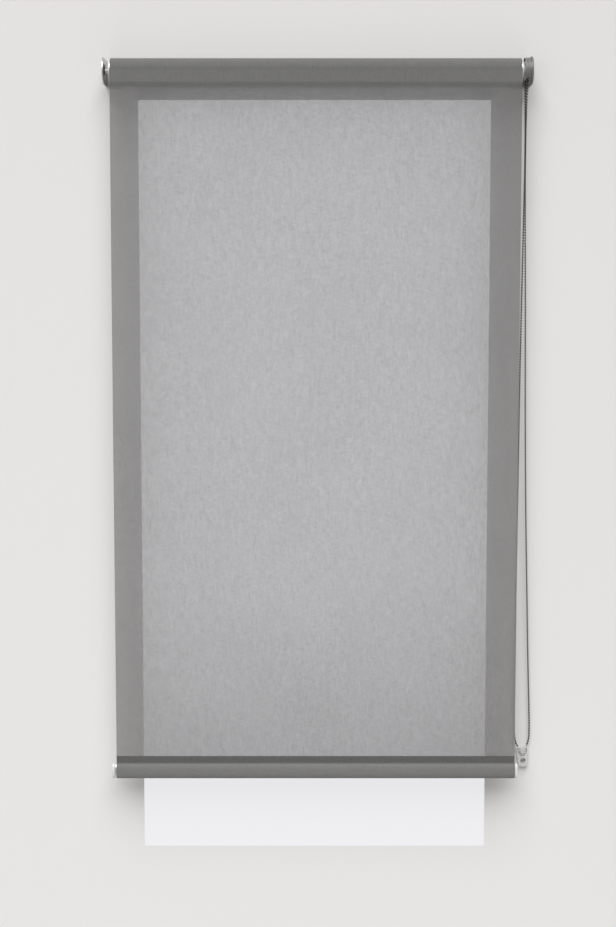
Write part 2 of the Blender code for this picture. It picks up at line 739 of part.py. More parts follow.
def chain_guard(axis, hub_flange_end):
    """The grey cup round the wheel, open towards the roll and at its foot for the chain."""
    wall_start = hub_flange_end + GAP
    wall_end = RIGHT_PLATE_INNER - GAP
    rim = FABRIC_RIGHT + GUARD_SPACE
    inner = GUARD_RADIUS - GUARD_WALL
    shallow = GUARD_RADIUS - EDGE
    groove_start, groove_end = (rim + along for along in GUARD_GROOVE)
    profile = [(rim, inner), (rim, shallow), (rim + EDGE, GUARD_RADIUS)]
    profile += [(groove_start, GUARD_RADIUS), (groove_start + EDGE, shallow)]
    profile += [(groove_end - EDGE, shallow), (groove_end, GUARD_RADIUS)]
    profile += [(wall_end, GUARD_RADIUS), (wall_end, GUARD_EYE_RADIUS)]
    profile += [(wall_start, GUARD_EYE_RADIUS), (wall_start, inner)]
    guard = turned("chain_guard", profile, "grey_plastic", axis)
    half, low = GUARD_MOUTH_HALF, -GUARD_RADIUS - OVERSHOOT
    mouth = [(-half, low), (half, low), (half, GUARD_MOUTH_TOP), (-half, GUARD_MOUTH_TOP)]
    ends = (rim - OVERSHOOT, WHEEL_X + RIM_HALF)
    cut(guard, extruded("guard_mouth_cutter", mouth, "X", *ends, None, axis))
    slot = stadium(SLOT_WIDTH, SLOT_HEIGHT, (0.0, SLOT_Z))
    ends = (wall_start - OVERSHOOT, wall_end + OVERSHOOT)
    cut(guard, extruded("guard_slot_cutter", slot, "X", *ends, None, axis))


def cover_outline(half):
    return [(-GAP, half), *arc((-AXIS_TO_WALL, 0.0), half, 90, 270, 20), (-GAP, -half)]


def right_cover():
    """A cap over the outside of the right bracket, with a lip round the plate's edge."""
    face = RIGHT_PLATE_OUTER + GAP
    inner_half = PLATE_HALF_HEIGHT + GAP
    lip_start = face - COVER_LIP_DEPTH
    cover = extruded(
        "right_bracket_cover", cover_outline(inner_half + COVER_LIP), "X",
        lip_start, face + COVER_FACE, "grey_plastic",
    )
    nose = arc((-AXIS_TO_WALL, 0.0), inner_half, 90, 270, 20)
    room = [(OVERSHOOT, inner_half), *nose, (OVERSHOOT, -inner_half)]
    room_start = lip_start - OVERSHOOT
    cut(cover, extruded("cover_room_cutter", room, "X", room_start, face, None))
    soften(cover, EDGE)
    peg = arc((-AXIS_TO_WALL, PLATE_HOLE_Z), PEG_RADIUS, 0, 337.5, 15)
    peg_shape = extruded(
        "cover_peg_shape", peg, "X", RIGHT_PLATE_INNER + GAP, face + EDGE, None
    )
    cut(cover, peg_shape, "UNION")


def right_end(axis):
    end_bracket("right_bracket", RIGHT_PLATE_OUTER, -1)
    for place, inset in zip(("outer", "inner"), FOOT_SCREW_INSETS):
        wall_screw(
            f"right_wall_screw_{place}",
            RIGHT_PLATE_OUTER - inset,
            FOOT_SCREW_Z,
            -PLATE_THICKNESS,
        )
    inner_end = drive_sleeve(axis)
    chain_wheel(axis)
    flange_end = fixed_hub(axis, inner_end)
    chain_guard(axis, flange_end)
    right_cover()


def cloth_and_bar():
    """The hanging cloth, its hem, and the oval bar with its two end caps."""
    sheet_y = -AXIS_TO_WALL - ROLL_RADIUS - GAP - FABRIC_THICKNESS / 2
    hem_height = BAR_HEIGHT + 2 * (GAP + FABRIC_THICKNESS)
    bar_z = -DROP + hem_height / 2
    fin_top = bar_z + hem_height / 2 + HEM_FIN
    half = FABRIC_THICKNESS / 2
    sheet = [(-half, fin_top + GAP), (half, fin_top + GAP), (half, 0.0), (-half, 0.0)]
    sheet = [(sheet_y + y, z) for y, z in sheet]
    extruded("fabric_sheet", sheet, "X", FABRIC_LEFT, FABRIC_RIGHT, "grey_fabric")

    bar_frame = empty("bar_frame", (0.0, sheet_y, bar_z))
    hem_depth = BAR_DEPTH + 2 * (GAP + FABRIC_THICKNESS)
    hem = extruded(
        "hem_pocket", oval(hem_depth, hem_height, (0.0, 0.0)), "X",
        FABRIC_LEFT, FABRIC_RIGHT, "grey_fabric", bar_frame,
    )
    fin = HEM_FIN_THICKNESS / 2
    top = hem_height / 2
    fin_outline = [(-fin, top - 2 * FABRIC_THICKNESS), (fin, top - 2 * FABRIC_THICKNESS)]
    fin_outline += [(fin, top + HEM_FIN), (-fin, top + HEM_FIN)]
    cut(
        hem,
        extruded(
            "hem_fin_shape", fin_outline, "X", FABRIC_LEFT, FABRIC_RIGHT, None, bar_frame
        ),
        "UNION",
    )
    room = oval(BAR_DEPTH + 2 * GAP, BAR_HEIGHT + 2 * GAP, (0.0, 0.0))
    ends = (FABRIC_LEFT - OVERSHOOT, FABRIC_RIGHT + OVERSHOOT)
    cut(hem, extruded("hem_room_cutter", room, "X", *ends, None, bar_frame))

    bar_left = FABRIC_LEFT - BAR_LEFT_OVERHANG
    inner_oval = (BAR_DEPTH - 2 * BAR_WALL, BAR_HEIGHT - 2 * BAR_WALL)
    hollow_extruded(
        "bottom_bar",
        oval(BAR_DEPTH, BAR_HEIGHT, (0.0, 0.0)),
        oval(*inner_oval, (0.0, 0.0)),
        "X", bar_left, FABRIC_RIGHT, "aluminium", bar_frame,
    )
    for side, start, way in (("left", bar_left, -1), ("right", FABRIC_RIGHT, 1)):
        seat = start + way * GAP
        cap = extruded(
            f"bar_end_cap_{side}", oval(hem_depth, hem_height, (0.0, 0.0)), "X",
            *sorted((seat, seat + way * CAP_LENGTH)), "white_plastic", bar_frame,
        )
        soften(cap, CAP_EDGE)
        spigot = oval(inner_oval[0] - 2 * GAP, inner_oval[1] - 2 * GAP, (0.0, 0.0))
        reach = sorted((seat + way * CAP_LENGTH / 2, start - way * CAP_SPIGOT))
        shape_name = f"cap_spigot_shape_{side}"
        cut(cap, extruded(shape_name, spigot, "X", *reach, None, bar_frame), "UNION")


def chain_run(shape, side, end_z):
    """A run's points, from the wheel's front (side -1) or back (side 1) to the wall."""
    start_y = -AXIS_TO_WALL + side * CHAIN_ARC_RADIUS
    points = []
    for right, out, fall in shape:
        y = CHAIN_END_Y + (start_y - CHAIN_END_Y) * out
        points.append((WHEEL_X + right, y, RUN_TOP + (end_z - RUN_TOP) * fall))
    return points


def connector_route():
    return [
        (WHEEL_X + right, CHAIN_END_Y, TENSIONER_TOP + up) for right, up in CONNECTOR_ROUTE
    ]


def chain():
    """The endless bead chain as plain tubes, and the clear connector that closes it."""
    radius = BEAD_DIAMETER / 2
    over = arc((-AXIS_TO_WALL, 0.0), CHAIN_ARC_RADIUS, 180, 0, 16)
    over = [(WHEEL_X, y, z) for y, z in over]
    tube_along("bead_chain_over_wheel", over, radius, "bead_steel")
    front = chain_run(FRONT_RUN, -1, TENSIONER_TOP + FRONT_RUN_END)
    back = chain_run(BACK_RUN, 1, TENSIONER_TOP + BACK_RUN_END)
    for name, route in (("front", front), ("back", back)):
        points = smooth_route(route, RUN_POINTS)
        tube_along(f"bead_chain_{name}_run", points, radius, "bead_steel")
    points = smooth_route(connector_route(), CONNECTOR_POINTS)
    tube_along("chain_connector", points, CONNECTOR_RADIUS, "clear_plastic")


def channel_outline():
    """The band, in X and Z, that the connector's route clears through the hold-down."""
    route = smooth_route(connector_route(), CONNECTOR_POINTS)
    route.insert(0, route[0] + (route[0] - route[1]).normalized() * CHANNEL_LEAD)
    route.append(route[-1] + (route[-1] - route[-2]).normalized() * CHANNEL_LEAD)
    one_side, other_side = [], []
    for k, here in enumerate(route):
        along = route[min(k + 1, len(route) - 1)] - route[max(k - 1, 0)]
        across = Vector((-along.z, 0.0, along.x)).normalized() * CHANNEL_HALF
        one_side.append((here.x + across.x, here.z + across.z))
        other_side.append((here.x - across.x, here.z - across.z))
    return one_side + other_side[::-1]


def tensioner():
    """The clear hold-down screwed to the wall, with a channel for the connector."""
    bottom = TENSIONER_TOP - TENSIONER_HEIGHT
    top_left, top_right = (WHEEL_X + right for right in TENSIONER_TOP_SPAN)
    foot_left, foot_right = (WHEEL_X + right for right in TENSIONER_FOOT_SPAN)
    corners = [(top_left, TENSIONER_TOP), (top_right, TENSIONER_TOP)]
    corners += [(foot_right, bottom), (foot_left, bottom)]
    body = extruded(
        "tensioner_body", rounded(corners, TENSIONER_CORNER), "Y",
        -TENSIONER_DEPTH, 0.0, "clear_plastic",
    )
    front = -TENSIONER_DEPTH - OVERSHOOT
    ends = (front, CHANNEL_FLOOR_Y)
    cut(body, extruded("channel_cutter", channel_outline(), "Y", *ends, None))
    place = (TENSIONER_SCREW_X, TENSIONER_SCREW_Z)
    counterbore = (HEAD_RADIUS + SLIP, CHANNEL_FLOOR_Y)
    shank_hole = (SHANK_RADIUS + SLIP / 2, OVERSHOOT)
    for index, (radius, depth) in enumerate((counterbore, shank_hole)):
        hole = arc(place, radius, 0, 345, 23)
        cutter_name = f"tensioner_screw_cutter_{index}"
        cut(body, extruded(cutter_name, hole, "Y", front, depth, None))
    wall_screw("tensioner_screw", *place, CHANNEL_FLOOR_Y)


def main():
    clear_scene()
    axis = empty("roller_axis", (0.0, -AXIS_TO_WALL, 0.0))
    left_end(axis)
    roller(axis)
    right_end(axis)
    cloth_and_bar()
    chain()
    tensioner()


main()
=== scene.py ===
"""Looks for the roller blind: cloth, bead chain, hem, finishes, camera, light and stage.

Everything is in metres, in the CAD frame: the origin is on the wall, midway between the
outer faces of the end brackets, at the height of the roller's axis. +X is to the right
as seen from the room, +Y goes into the wall and +Z is up.
"""

import json
import math

import bpy
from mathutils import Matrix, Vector


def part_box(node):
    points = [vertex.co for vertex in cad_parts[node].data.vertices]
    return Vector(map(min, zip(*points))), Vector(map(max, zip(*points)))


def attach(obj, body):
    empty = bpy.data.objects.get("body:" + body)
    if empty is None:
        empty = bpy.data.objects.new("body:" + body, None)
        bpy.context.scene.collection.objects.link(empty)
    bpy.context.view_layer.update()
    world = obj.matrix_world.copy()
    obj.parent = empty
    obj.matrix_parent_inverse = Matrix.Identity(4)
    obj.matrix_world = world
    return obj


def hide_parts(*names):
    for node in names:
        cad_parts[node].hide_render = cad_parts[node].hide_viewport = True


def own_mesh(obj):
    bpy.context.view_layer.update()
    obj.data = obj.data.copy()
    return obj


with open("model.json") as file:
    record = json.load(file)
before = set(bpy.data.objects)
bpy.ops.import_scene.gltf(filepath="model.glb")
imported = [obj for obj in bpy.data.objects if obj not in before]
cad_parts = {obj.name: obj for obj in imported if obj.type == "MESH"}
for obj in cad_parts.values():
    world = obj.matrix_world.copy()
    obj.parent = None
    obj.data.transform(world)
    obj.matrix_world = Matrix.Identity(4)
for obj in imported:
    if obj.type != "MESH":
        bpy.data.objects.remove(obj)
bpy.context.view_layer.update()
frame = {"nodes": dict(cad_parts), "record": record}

# ---- places read from the CAD ----
roll_low, roll_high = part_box("fabric_roll")
sheet_low, sheet_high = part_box("fabric_sheet")
hem_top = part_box("hem_pocket")[1].z
bar_low, bar_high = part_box("bottom_bar")
tube_low, tube_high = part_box("roller_tube")
hold_down_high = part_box("tensioner_body")[1]

AXIS_Y = (roll_low.y + roll_high.y) / 2
ROLL_RADIUS = (roll_high.z - roll_low.z) / 2
TUBE_RADIUS = (tube_high.z - tube_low.z) / 2
LEFT, RIGHT = sheet_low.x, sheet_high.x
SHEET_Y = (sheet_low.y + sheet_high.y) / 2

# ---- the cloth ----
CLOTH = 0.0005  # thickness
WOUND_CLOTH = 0.00042  # thickness, pulled tight
HAIR = 0.00005  # between layers of cloth that lie on each other
CLOTH_DARK, CLOTH_LIGHT = (0.140, 0.139, 0.136), (0.170, 0.169, 0.166)
THROUGH_DARK, THROUGH_LIGHT = (0.68, 0.67, 0.67), (0.75, 0.74, 0.74)
SHEET_ROWS, SHEET_COLUMNS = 110, 90
CURL_OUT, CURL_REACH = 0.0016, 0.012  # its edges curl this far out, from this far in
LONG_WAVE, SHORT_WAVE = 0.0007, 0.0004  # heights of its faint waves
WRAP_TURNS, WRAP_COLUMNS = 0.985, 60
WOUND_FIRST, WOUND_COLUMNS = 40.0, 4  # the angle where it starts, in degrees
ROUND_STEPS = 72  # to a turn of cloth on the roller
HEM_ROOM = 0.0004  # between the bar and the cloth round it
HEM_FULLNESS = 2 / 2.4  # the power that makes the bar's rounded oval
HEM_STEPS, HEM_COLUMNS = 48, 160
HEM_FADE = 0.003  # from the bar's top to where the band is fully closed
FIN_FOOT, FIN_STEPS = 0.0006, 8  # the double band starts this far above the bar's cloth
PUCKER, PUCKER_FADE = 0.00012, 0.004
WELD_HEIGHT, WELD_DEPTH = 0.0018, 0.00022
WELD_ROWS = (0.0010, 0.0036)  # below the top of the hem
WELD_INSET, WELD_STEPS = 0.0015, 320  # from the cloth's edges

# ---- the bead chain ----
BEAD_DIAMETER = 0.0032
BEAD_PITCH = 0.00435
LINK_DIAMETER = 0.0007
PER_BEAD = 4  # points of a chain's route to each ball
SPACING = BEAD_PITCH / PER_BEAD
OVER_STEPS = 36  # over the wheel
KNOT_STEPS = 40  # from one of a route's own points to the next
POCKETS = 18
PITCH_RADIUS = BEAD_PITCH / (2 * math.sin(math.pi / POCKETS))
WHEEL_X = RIGHT + 0.0084
CHAIN_END_Y = -0.0055
RUN_TOP = -0.0004
FRONT_RUN_END = 0.0013
BACK_RUN_END = 0.0023
# Distance right of the wheel, share of the way out from the wall, share of the fall.
FRONT_RUN = [
    (0.0000, 1.000, 0.0000),
    (-0.0001, 0.974, 0.0273),
    (-0.0008, 0.918, 0.0825),
    (-0.0015, 0.852, 0.1470),
    (-0.0022, 0.770, 0.2299),
    (-0.0030, 0.679, 0.3220),
    (-0.0038, 0.570, 0.4325),
    (-0.0041, 0.462, 0.5430),
    (-0.0043, 0.354, 0.6535),
    (-0.0047, 0.254, 0.7548),
    (-0.0048, 0.154, 0.8561),
    (-0.0049, 0.076, 0.9344),
    (-0.0039, 0.030, 0.9713),
    (-0.0012, 0.009, 0.9915),
    (0.0030, 0.000, 1.0000),
]
BACK_RUN = [
    (0.0000, 1.000, 0.0000),
    (0.0003, 0.979, 0.0273),
    (0.0010, 0.926, 0.0826),
    (0.0020, 0.862, 0.1471),
    (0.0032, 0.778, 0.2301),
    (0.0049, 0.688, 0.3223),
    (0.0065, 0.582, 0.4329),
    (0.0083, 0.476, 0.5435),
    (0.0108, 0.365, 0.6541),
    (0.0138, 0.265, 0.7555),
    (0.0170, 0.164, 0.8569),
    (0.0199, 0.079, 0.9353),
    (0.0210, 0.037, 0.9703),
    (0.0203, 0.016, 0.9887),
    (0.0164, 0.000, 1.0000),
]
# Distance right of the wheel, height from the hold-down's top.
CONNECTOR_ROUTE = [
    (0.0033, 0.0007),
    (0.0043, -0.0045),
    (0.0065, -0.0093),
    (0.0102, -0.0117),
    (0.0139, -0.0093),
    (0.0156, -0.0045),
    (0.0163, 0.0017),
]
CONNECTOR_BEAD = 0.0027
CONNECTOR_THREAD = 0.0009
# A ball's outline, in radii: along the chain, and out from it.
BALL = (
    (-0.93, 0.36), (-0.72, 0.70), (-0.30, 0.955),
    (0.30, 0.955), (0.72, 0.70), (0.93, 0.36),
)
BALL_SIDES, LINK_SIDES, THREAD_SIDES = 10, 6, 8

# ---- camera ----
CAMERA_PLACE = (-0.0152, -2.7364, -0.3660)
CAMERA_TILT = 5.3  # degrees below the horizon
FOCAL = 65.94
SENSOR = 36.0

# ---- stage ----
WALL_Y = 0.0006
WALL_TOP = 1.8
FLOOR_Z = -3.2
STAGE_HALF = 2.6
# The lit opening's left, right, bottom and top.
WINDOW = (-0.2850, 0.2755, -1.2550, -0.0404)
# The opening's glow is weaker low down: painted shade on its lower part.
WINDOW_FADE = (-1.15, -0.80)  # heights between which it gets brighter
WINDOW_GLOW = (0.74, 1.08)  # at those heights
# The strip of painted shade above the opening, behind the roll: a darker strip standing
# in for the shade at the top of the opening.
SHADE_STRIP_TOP = -0.0120  # the darker strip of wall above the opening, behind the roll
WINDOW_BACK, SHADE_STRIP_OUT = 0.0004, 0.0003  # from the wall's face
KEY_HEIGHT, KEY_SIDE, KEY_SPREAD = 50, -3, 50  # degrees
KEY_STRENGTH = 2.95
SKY_COLOUR, SKY_STRENGTH = (0.93, 0.93, 0.935, 1.0), 0.27
FILL_PLACE, FILL_AIM = (-1.3, -2.7, -0.1), (-0.2, 0.0, -0.3)
FILL_SIZE, FILL_POWER = (1.4, 1.8), 5.0


# ---- small helpers ----
SHARP_FROM = 60  # degrees between two faces


def link(name, data):
    made = bpy.data.objects.new(name, data)
    bpy.context.scene.collection.objects.link(made)
    return made


def piece(name, points, faces, material, body):
    """A mesh piece that rides on a CAD body."""
    mesh = bpy.data.meshes.new(name)
    mesh.from_pydata([tuple(p) for p in points], [], faces)
    mesh.validate()
    mesh.shade_smooth()
    mesh.set_sharp_from_angle(angle=math.radians(SHARP_FROM))
    mesh.materials.append(material)
    made = link(name, mesh)
    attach(made, body)
    return made


def smooth_route(route, spacing):
    """Evenly spread points on a smooth curve through the route's own points."""
    knots = [Vector(p) for p in route]
    knots = [knots[0] * 2 - knots[1], *knots, knots[-1] * 2 - knots[-2]]
    fine = []
    for a, b, c, d in zip(knots, knots[1:], knots[2:], knots[3:]):
        for step in range(KNOT_STEPS):
            t = step / KNOT_STEPS
            cubic = (3 * b - a - 3 * c + d) * t**3
            fine.append(
                (2 * b + (c - a) * t + (2 * a - 5 * b + 4 * c - d) * t**2 + cubic) / 2
            )
    fine.append(knots[-2])
    points, left_over = [fine[0]], spacing
    for a, b in zip(fine, fine[1:]):
        along = (b - a).length
        while left_over <= along:
            points.append(a.lerp(b, left_over / along))
            left_over += spacing
        left_over -= along
    return points


def heading(points, index):
    """The direction of a line of points at one of them."""
    ahead = points[min(index + 1, len(points) - 1)] - points[max(index - 1, 0)]
    return ahead.normalized()


def spokes(ahead, sides):
    """Directions across a line, evenly round it."""
    across = ahead.cross(Vector((1, 0, 0)))
    if across.length < 0.2:
        across = ahead.cross(Vector((0, 1, 0)))
    across.normalize()
    up = ahead.cross(across)
    turns = [math.tau * k / sides for k in range(sides)]
    return [across * math.cos(turn) + up * math.sin(turn) for turn in turns]


def add_sides(rings, verts, faces):
    """Adds the faces between rings of points, each of as many points as the next."""
    first, size = len(verts), len(rings[0])
    for ring in rings:
        verts.extend(ring)
    for number in range(len(rings) - 1):
        here = first + number * size
        for k in range(size):
            after = (k + 1) % size
            faces.append([here + k, here + after, here + size + after, here + size + k])


def add_solid(rings, verts, faces):
    """Adds a closed skin over rings of points, with a cap at each end."""
    first, size = len(verts), len(rings[0])
    add_sides(rings, verts, faces)
    last = first + (len(rings) - 1) * size
    faces.append([first + k for k in reversed(range(size))])
    faces.append([last + k for k in range(size)])


def add_tube(points, radius, sides, verts, faces):
    """Adds a closed tube along a line of points."""
    rings = [
        [place + radius * spoke for spoke in spokes(heading(points, index), sides)]
        for index, place in enumerate(points)
    ]
    add_solid(rings, verts, faces)


def add_balls(centres, directions, radius, verts, faces):
    """Adds stamped balls: round, with a small flat collar where the link goes in."""
    for centre, ahead in zip(centres, directions):
        around = spokes(ahead, BALL_SIDES)
        rings = [
            [centre + radius * (ahead * along + spoke * out) for spoke in around]
            for along, out in BALL
        ]
        add_solid(rings, verts, faces)


def chain_run(shape, side, end_z):
    """A run's route, from the wheel's front (side -1) or back (side 1) to the wall."""
    start_y = AXIS_Y + side * PITCH_RADIUS
    return [
        (
            WHEEL_X + right,
            CHAIN_END_Y + (start_y - CHAIN_END_Y) * out,
            RUN_TOP + (end_z - RUN_TOP) * fall,
        )
        for right, out, fall in shape
    ]


# ---- materials ----
NOISE_LOW, NOISE_HIGH = 0.3, 0.7  # where nearly all of a noise's values lie


class Nodes:
    """A material's node tree, with short calls for the nodes that it is made of."""

    def __init__(self, name):
        self.material = bpy.data.materials.new(name)
        self.material.use_nodes = True
        self.tree = self.material.node_tree
        self.shader = self.tree.nodes["Principled BSDF"]
        self.output = self.tree.nodes["Material Output"]
        self.place = self.add("ShaderNodeTexCoord").outputs["Object"]

    def add(self, kind):
        return self.tree.nodes.new(kind)

    def join(self, source, target):
        self.tree.links.new(source, target)

    def noise(self, scale, detail=2.0, roughness=0.5, stretch=(1, 1, 1), seed=0.0):
        """Noise with scale times stretch features per metre along each axis."""
        mapping = self.add("ShaderNodeMapping")
        mapping.inputs["Scale"].default_value = stretch
        mapping.inputs["Location"].default_value = (seed, seed * 0.7, seed * 1.3)
        self.join(self.place, mapping.inputs["Vector"])
        made = self.add("ShaderNodeTexNoise")
        made.inputs["Scale"].default_value = scale
        made.inputs["Detail"].default_value = detail
        made.inputs["Roughness"].default_value = roughness
        self.join(mapping.outputs["Vector"], made.inputs["Vector"])
        return made.outputs["Fac"]

    def wave(self, scale, along, seed):
        """Nearly even threads across one axis."""
        mapping = self.add("ShaderNodeMapping")
        mapping.inputs["Location"].default_value = (seed, seed, seed)
        self.join(self.place, mapping.inputs["Vector"])
        made = self.add("ShaderNodeTexWave")
        made.wave_type = "BANDS"
        made.bands_direction = along
        made.inputs["Scale"].default_value = scale
        made.inputs["Distortion"].default_value = 0.6
        made.inputs["Detail"].default_value = 2.0
        made.inputs["Detail Scale"].default_value = 0.3
        self.join(mapping.outputs["Vector"], made.inputs["Vector"])
        return made.outputs["Fac"]

    def spread(self, value, low=NOISE_LOW, high=NOISE_HIGH, low_out=0.0, high_out=1.0):
        """Carries one range over to another. Values outside it stay at its ends."""
        made = self.add("ShaderNodeMapRange")
        made.inputs["From Min"].default_value = low
        made.inputs["From Max"].default_value = high
        made.inputs["To Min"].default_value = low_out
        made.inputs["To Max"].default_value = high_out
        self.join(value, made.inputs["Value"])
        return made.outputs["Result"]

    def maths(self, operation, a, b):
        made = self.add("ShaderNodeMath")
        made.operation = operation
        for socket, value in zip(made.inputs, (a, b)):
            if isinstance(value, float):
                socket.default_value = value
            else:
                self.join(value, socket)
        return made.outputs["Value"]

    def blend(self, first, first_share, second, second_share):
        first = self.maths("MULTIPLY", first, first_share)
        return self.maths("ADD", first, self.maths("MULTIPLY", second, second_share))

    def mix(self, share, first, second):
        made = self.add("ShaderNodeMixShader")
        self.join(share, made.inputs["Fac"])
        self.join(first, made.inputs[1])
        self.join(second, made.inputs[2])
        return made.outputs["Shader"]

    def colours(self, value, low, high):
        made = self.add("ShaderNodeValToRGB")
        made.color_ramp.elements[0].color = (*low, 1.0)
        made.color_ramp.elements[1].color = (*high, 1.0)
        self.join(value, made.inputs["Fac"])
        return made.outputs["Color"]

    def paint(self, value, low, high):
        """Gives the surface the colours between two."""
        self.join(self.colours(value, low, high), self.shader.inputs["Base Color"])

    def roughen(self, noise, low, high):
        """Gives the surface a roughness between two."""
        rough = self.spread(noise, low_out=low, high_out=high)
        self.join(rough, self.shader.inputs["Roughness"])

    def bump(self, height, distance, strength):
        made = self.add("ShaderNodeBump")
        made.inputs["Distance"].default_value = distance
        made.inputs["Strength"].default_value = strength
        self.join(height, made.inputs["Height"])
        self.join(made.outputs["Normal"], self.shader.inputs["Normal"])
        return made.outputs["Normal"]

    def set(self, **values):
        for name, value in values.items():
            self.shader.inputs[name.replace("_", " ")].default_value = value


def cloth_material(name, openness, glow, shade, closed_band=None):
    """Linen-look cloth: slubbed yarns both ways that let some light through.

    The last argument, if given, is two heights and a factor. From the first height up to
    the second the cloth goes over to letting no light through, and its colour to that
    many times as bright. The factor is painted light above one and painted shade below
    one: on the hanging cloth it paints the top, just under the roll, brighter; on the hem
    it paints the doubled band above the bar darker than the bar's cloth.
    """
    n = Nodes(name)
    weft = n.noise(1.0, stretch=(85, 85, 820))
    warp = n.noise(1.0, stretch=(820, 85, 70), seed=3.1)
    fleck = n.noise(420.0, 1.0, seed=5.7)
    patch = n.noise(7.0, seed=8.3)
    yarns = n.maths("ADD", n.spread(weft), n.spread(warp))
    mixed = n.maths("ADD", yarns, n.spread(fleck, high_out=0.5))
    mixed = n.maths("ADD", mixed, n.spread(patch, high_out=0.3))
    tone = n.spread(mixed, 0.4, 2.4)
    low = tuple(c * shade for c in CLOTH_DARK)
    high = tuple(c * shade for c in CLOTH_LIGHT)
    colour = n.colours(tone, low, high)
    open_share = n.spread(yarns, 0.3, 1.8, openness * 0.88, openness * 1.13)
    glow_share = n.spread(patch, low_out=glow * 0.97, high_out=glow * 1.03)
    # Painted light and painted shade: in the band the colour is scaled by the given
    # factor, and no light comes through.
    if closed_band:
        height = n.add("ShaderNodeSeparateXYZ")
        n.join(n.place, height.inputs["Vector"])
        open_below, closed_above, brighter = closed_band
        open_part = n.spread(height.outputs["Z"], open_below, closed_above, 1.0, 0.0)
        open_share = n.maths("MULTIPLY", open_share, open_part)
        glow_share = n.maths("MULTIPLY", glow_share, open_part)
        change = n.add("ShaderNodeHueSaturation")
        n.join(n.spread(open_part, 0.0, 1.0, brighter, 1.0), change.inputs["Value"])
        n.join(colour, change.inputs["Color"])
        colour = change.outputs["Color"]
    n.join(colour, n.shader.inputs["Base Color"])
    n.set(Roughness=0.88, Specular_IOR_Level=0.18, Sheen_Weight=0.12, Sheen_Roughness=0.5)
    threads = n.maths("ADD", n.wave(1150.0, "X", 0.0), n.wave(1050.0, "Z", 0.3))
    relief = n.maths("ADD", threads, n.maths("MULTIPLY", mixed, 0.8))
    normal = n.bump(relief, 0.00012, 0.7)
    through = n.add("ShaderNodeBsdfTranslucent")
    n.join(n.colours(tone, THROUGH_DARK, THROUGH_LIGHT), through.inputs["Color"])
    n.join(normal, through.inputs["Normal"])
    clear = n.add("ShaderNodeBsdfTransparent").outputs["BSDF"]
    body = n.mix(glow_share, n.shader.outputs["BSDF"], through.outputs["BSDF"])
    n.join(n.mix(open_share, body, clear), n.output.inputs["Surface"])
    return n.material


def metal_material(name, colour, roughness, grain, stretch=(1, 1, 1)):
    """Plated or bare metal: fine grain in the gloss and faint darker smears."""
    n = Nodes(name)
    fine = n.noise(grain, 3.0, 0.6, stretch)
    broad = n.noise(55.0, seed=2.3)
    n.paint(n.spread(broad), tuple(c * 0.86 for c in colour), colour)
    mixed = n.blend(fine, 0.6, broad, 0.4)
    n.roughen(mixed, roughness * 0.75, roughness * 1.3)
    n.set(Metallic=1.0)
    n.bump(fine, 0.00001, 0.4)
    return n.material


def moulded_material(name, colour, roughness, unevenness=0.06):
    """Moulded plastic: a fine eroded grain and a slightly uneven gloss."""
    n = Nodes(name)
    grain = n.noise(900.0, 3.0, 0.6)
    low = tuple(c * (1 - unevenness) for c in colour)
    high = tuple(c * (1 + unevenness) for c in colour)
    n.paint(n.spread(n.noise(40.0, seed=4.1)), low, high)
    n.roughen(grain, roughness * 0.85, roughness * 1.2)
    n.bump(grain, 0.00002, 0.35)
    return n.material


def clear_material(name):
    """Clear plastic, very slightly frosted and uneven."""
    n = Nodes(name)
    cloud = n.noise(160.0)
    n.paint(cloud, (0.90, 0.90, 0.89), (0.95, 0.95, 0.94))
    n.roughen(cloud, 0.07, 0.16)
    n.set(IOR=1.45, Transmission_Weight=0.42)
    n.bump(cloud, 0.00003, 0.3)
    return n.material


def bead_material(name):
    """Bronzed steel balls, browner and duller in patches, brighter where worn."""
    n = Nodes(name)
    wear = n.noise(420.0, 3.0, 0.6)
    broad = n.noise(30.0, 1.0, seed=6.0)
    mixed = n.blend(wear, 0.7, broad, 0.3)
    n.paint(n.spread(mixed), (0.020, 0.015, 0.013), (0.046, 0.035, 0.031))
    n.roughen(mixed, 0.42, 0.26)
    n.set(Metallic=0.4)
    n.bump(wear, 0.00001, 0.3)
    return n.material


MATERIALS = {
    "chromed_steel": metal_material("chromed_steel", (0.62, 0.62, 0.63), 0.33, 700.0),
    "zinc_steel": metal_material("zinc_steel", (0.50, 0.50, 0.52), 0.34, 1400.0),
    "spring_steel": metal_material("spring_steel", (0.42, 0.42, 0.44), 0.30, 1600.0),
    "aluminium": metal_material(
        "aluminium", (0.74, 0.74, 0.75), 0.34, 1.0, (12, 1500, 1500)
    ),
    "grey_plastic": moulded_material("grey_plastic", (0.170, 0.168, 0.164), 0.42),
    "dark_plastic": moulded_material("dark_plastic", (0.020, 0.020, 0.021), 0.36),
    "white_plastic": moulded_material("white_plastic", (0.70, 0.70, 0.69), 0.30, 0.02),
    "clear_plastic": clear_material("clear_plastic"),
    "bead_steel": bead_material("bead_steel"),
    # Its top, from 31 mm to 18 mm below the roller's axis, goes over to letting no light
    # through and to a colour 1.38 times as bright: painted light that evens it with the
    # roll.
    "grey_fabric": cloth_material(
        "grey_fabric", 0.405, 0.50, 0.92, (-0.031, -0.018, 1.38)
    ),
}
# The cloth on the roll lets no light through and is painted 1.16 times as bright where
# the hanging cloth is 0.92: painted light on the roll.
ROLL_CLOTH = cloth_material("grey_fabric_on_roll", 0.0, 0.02, 1.16)
# The hem's cloth is painted 1.62 times as bright where the hanging cloth is 0.92: painted
# light on the bar's rounded top. In the doubled band above the bar it lets no light
# through and is painted 0.52 times as bright again, painted shade that brings it near the
# hanging cloth's tone.
HEM_CLOTH = cloth_material(
    "grey_fabric_hem", 0.05, 0.10, 1.62, (bar_high.z, bar_high.z + HEM_FADE, 0.52)
)


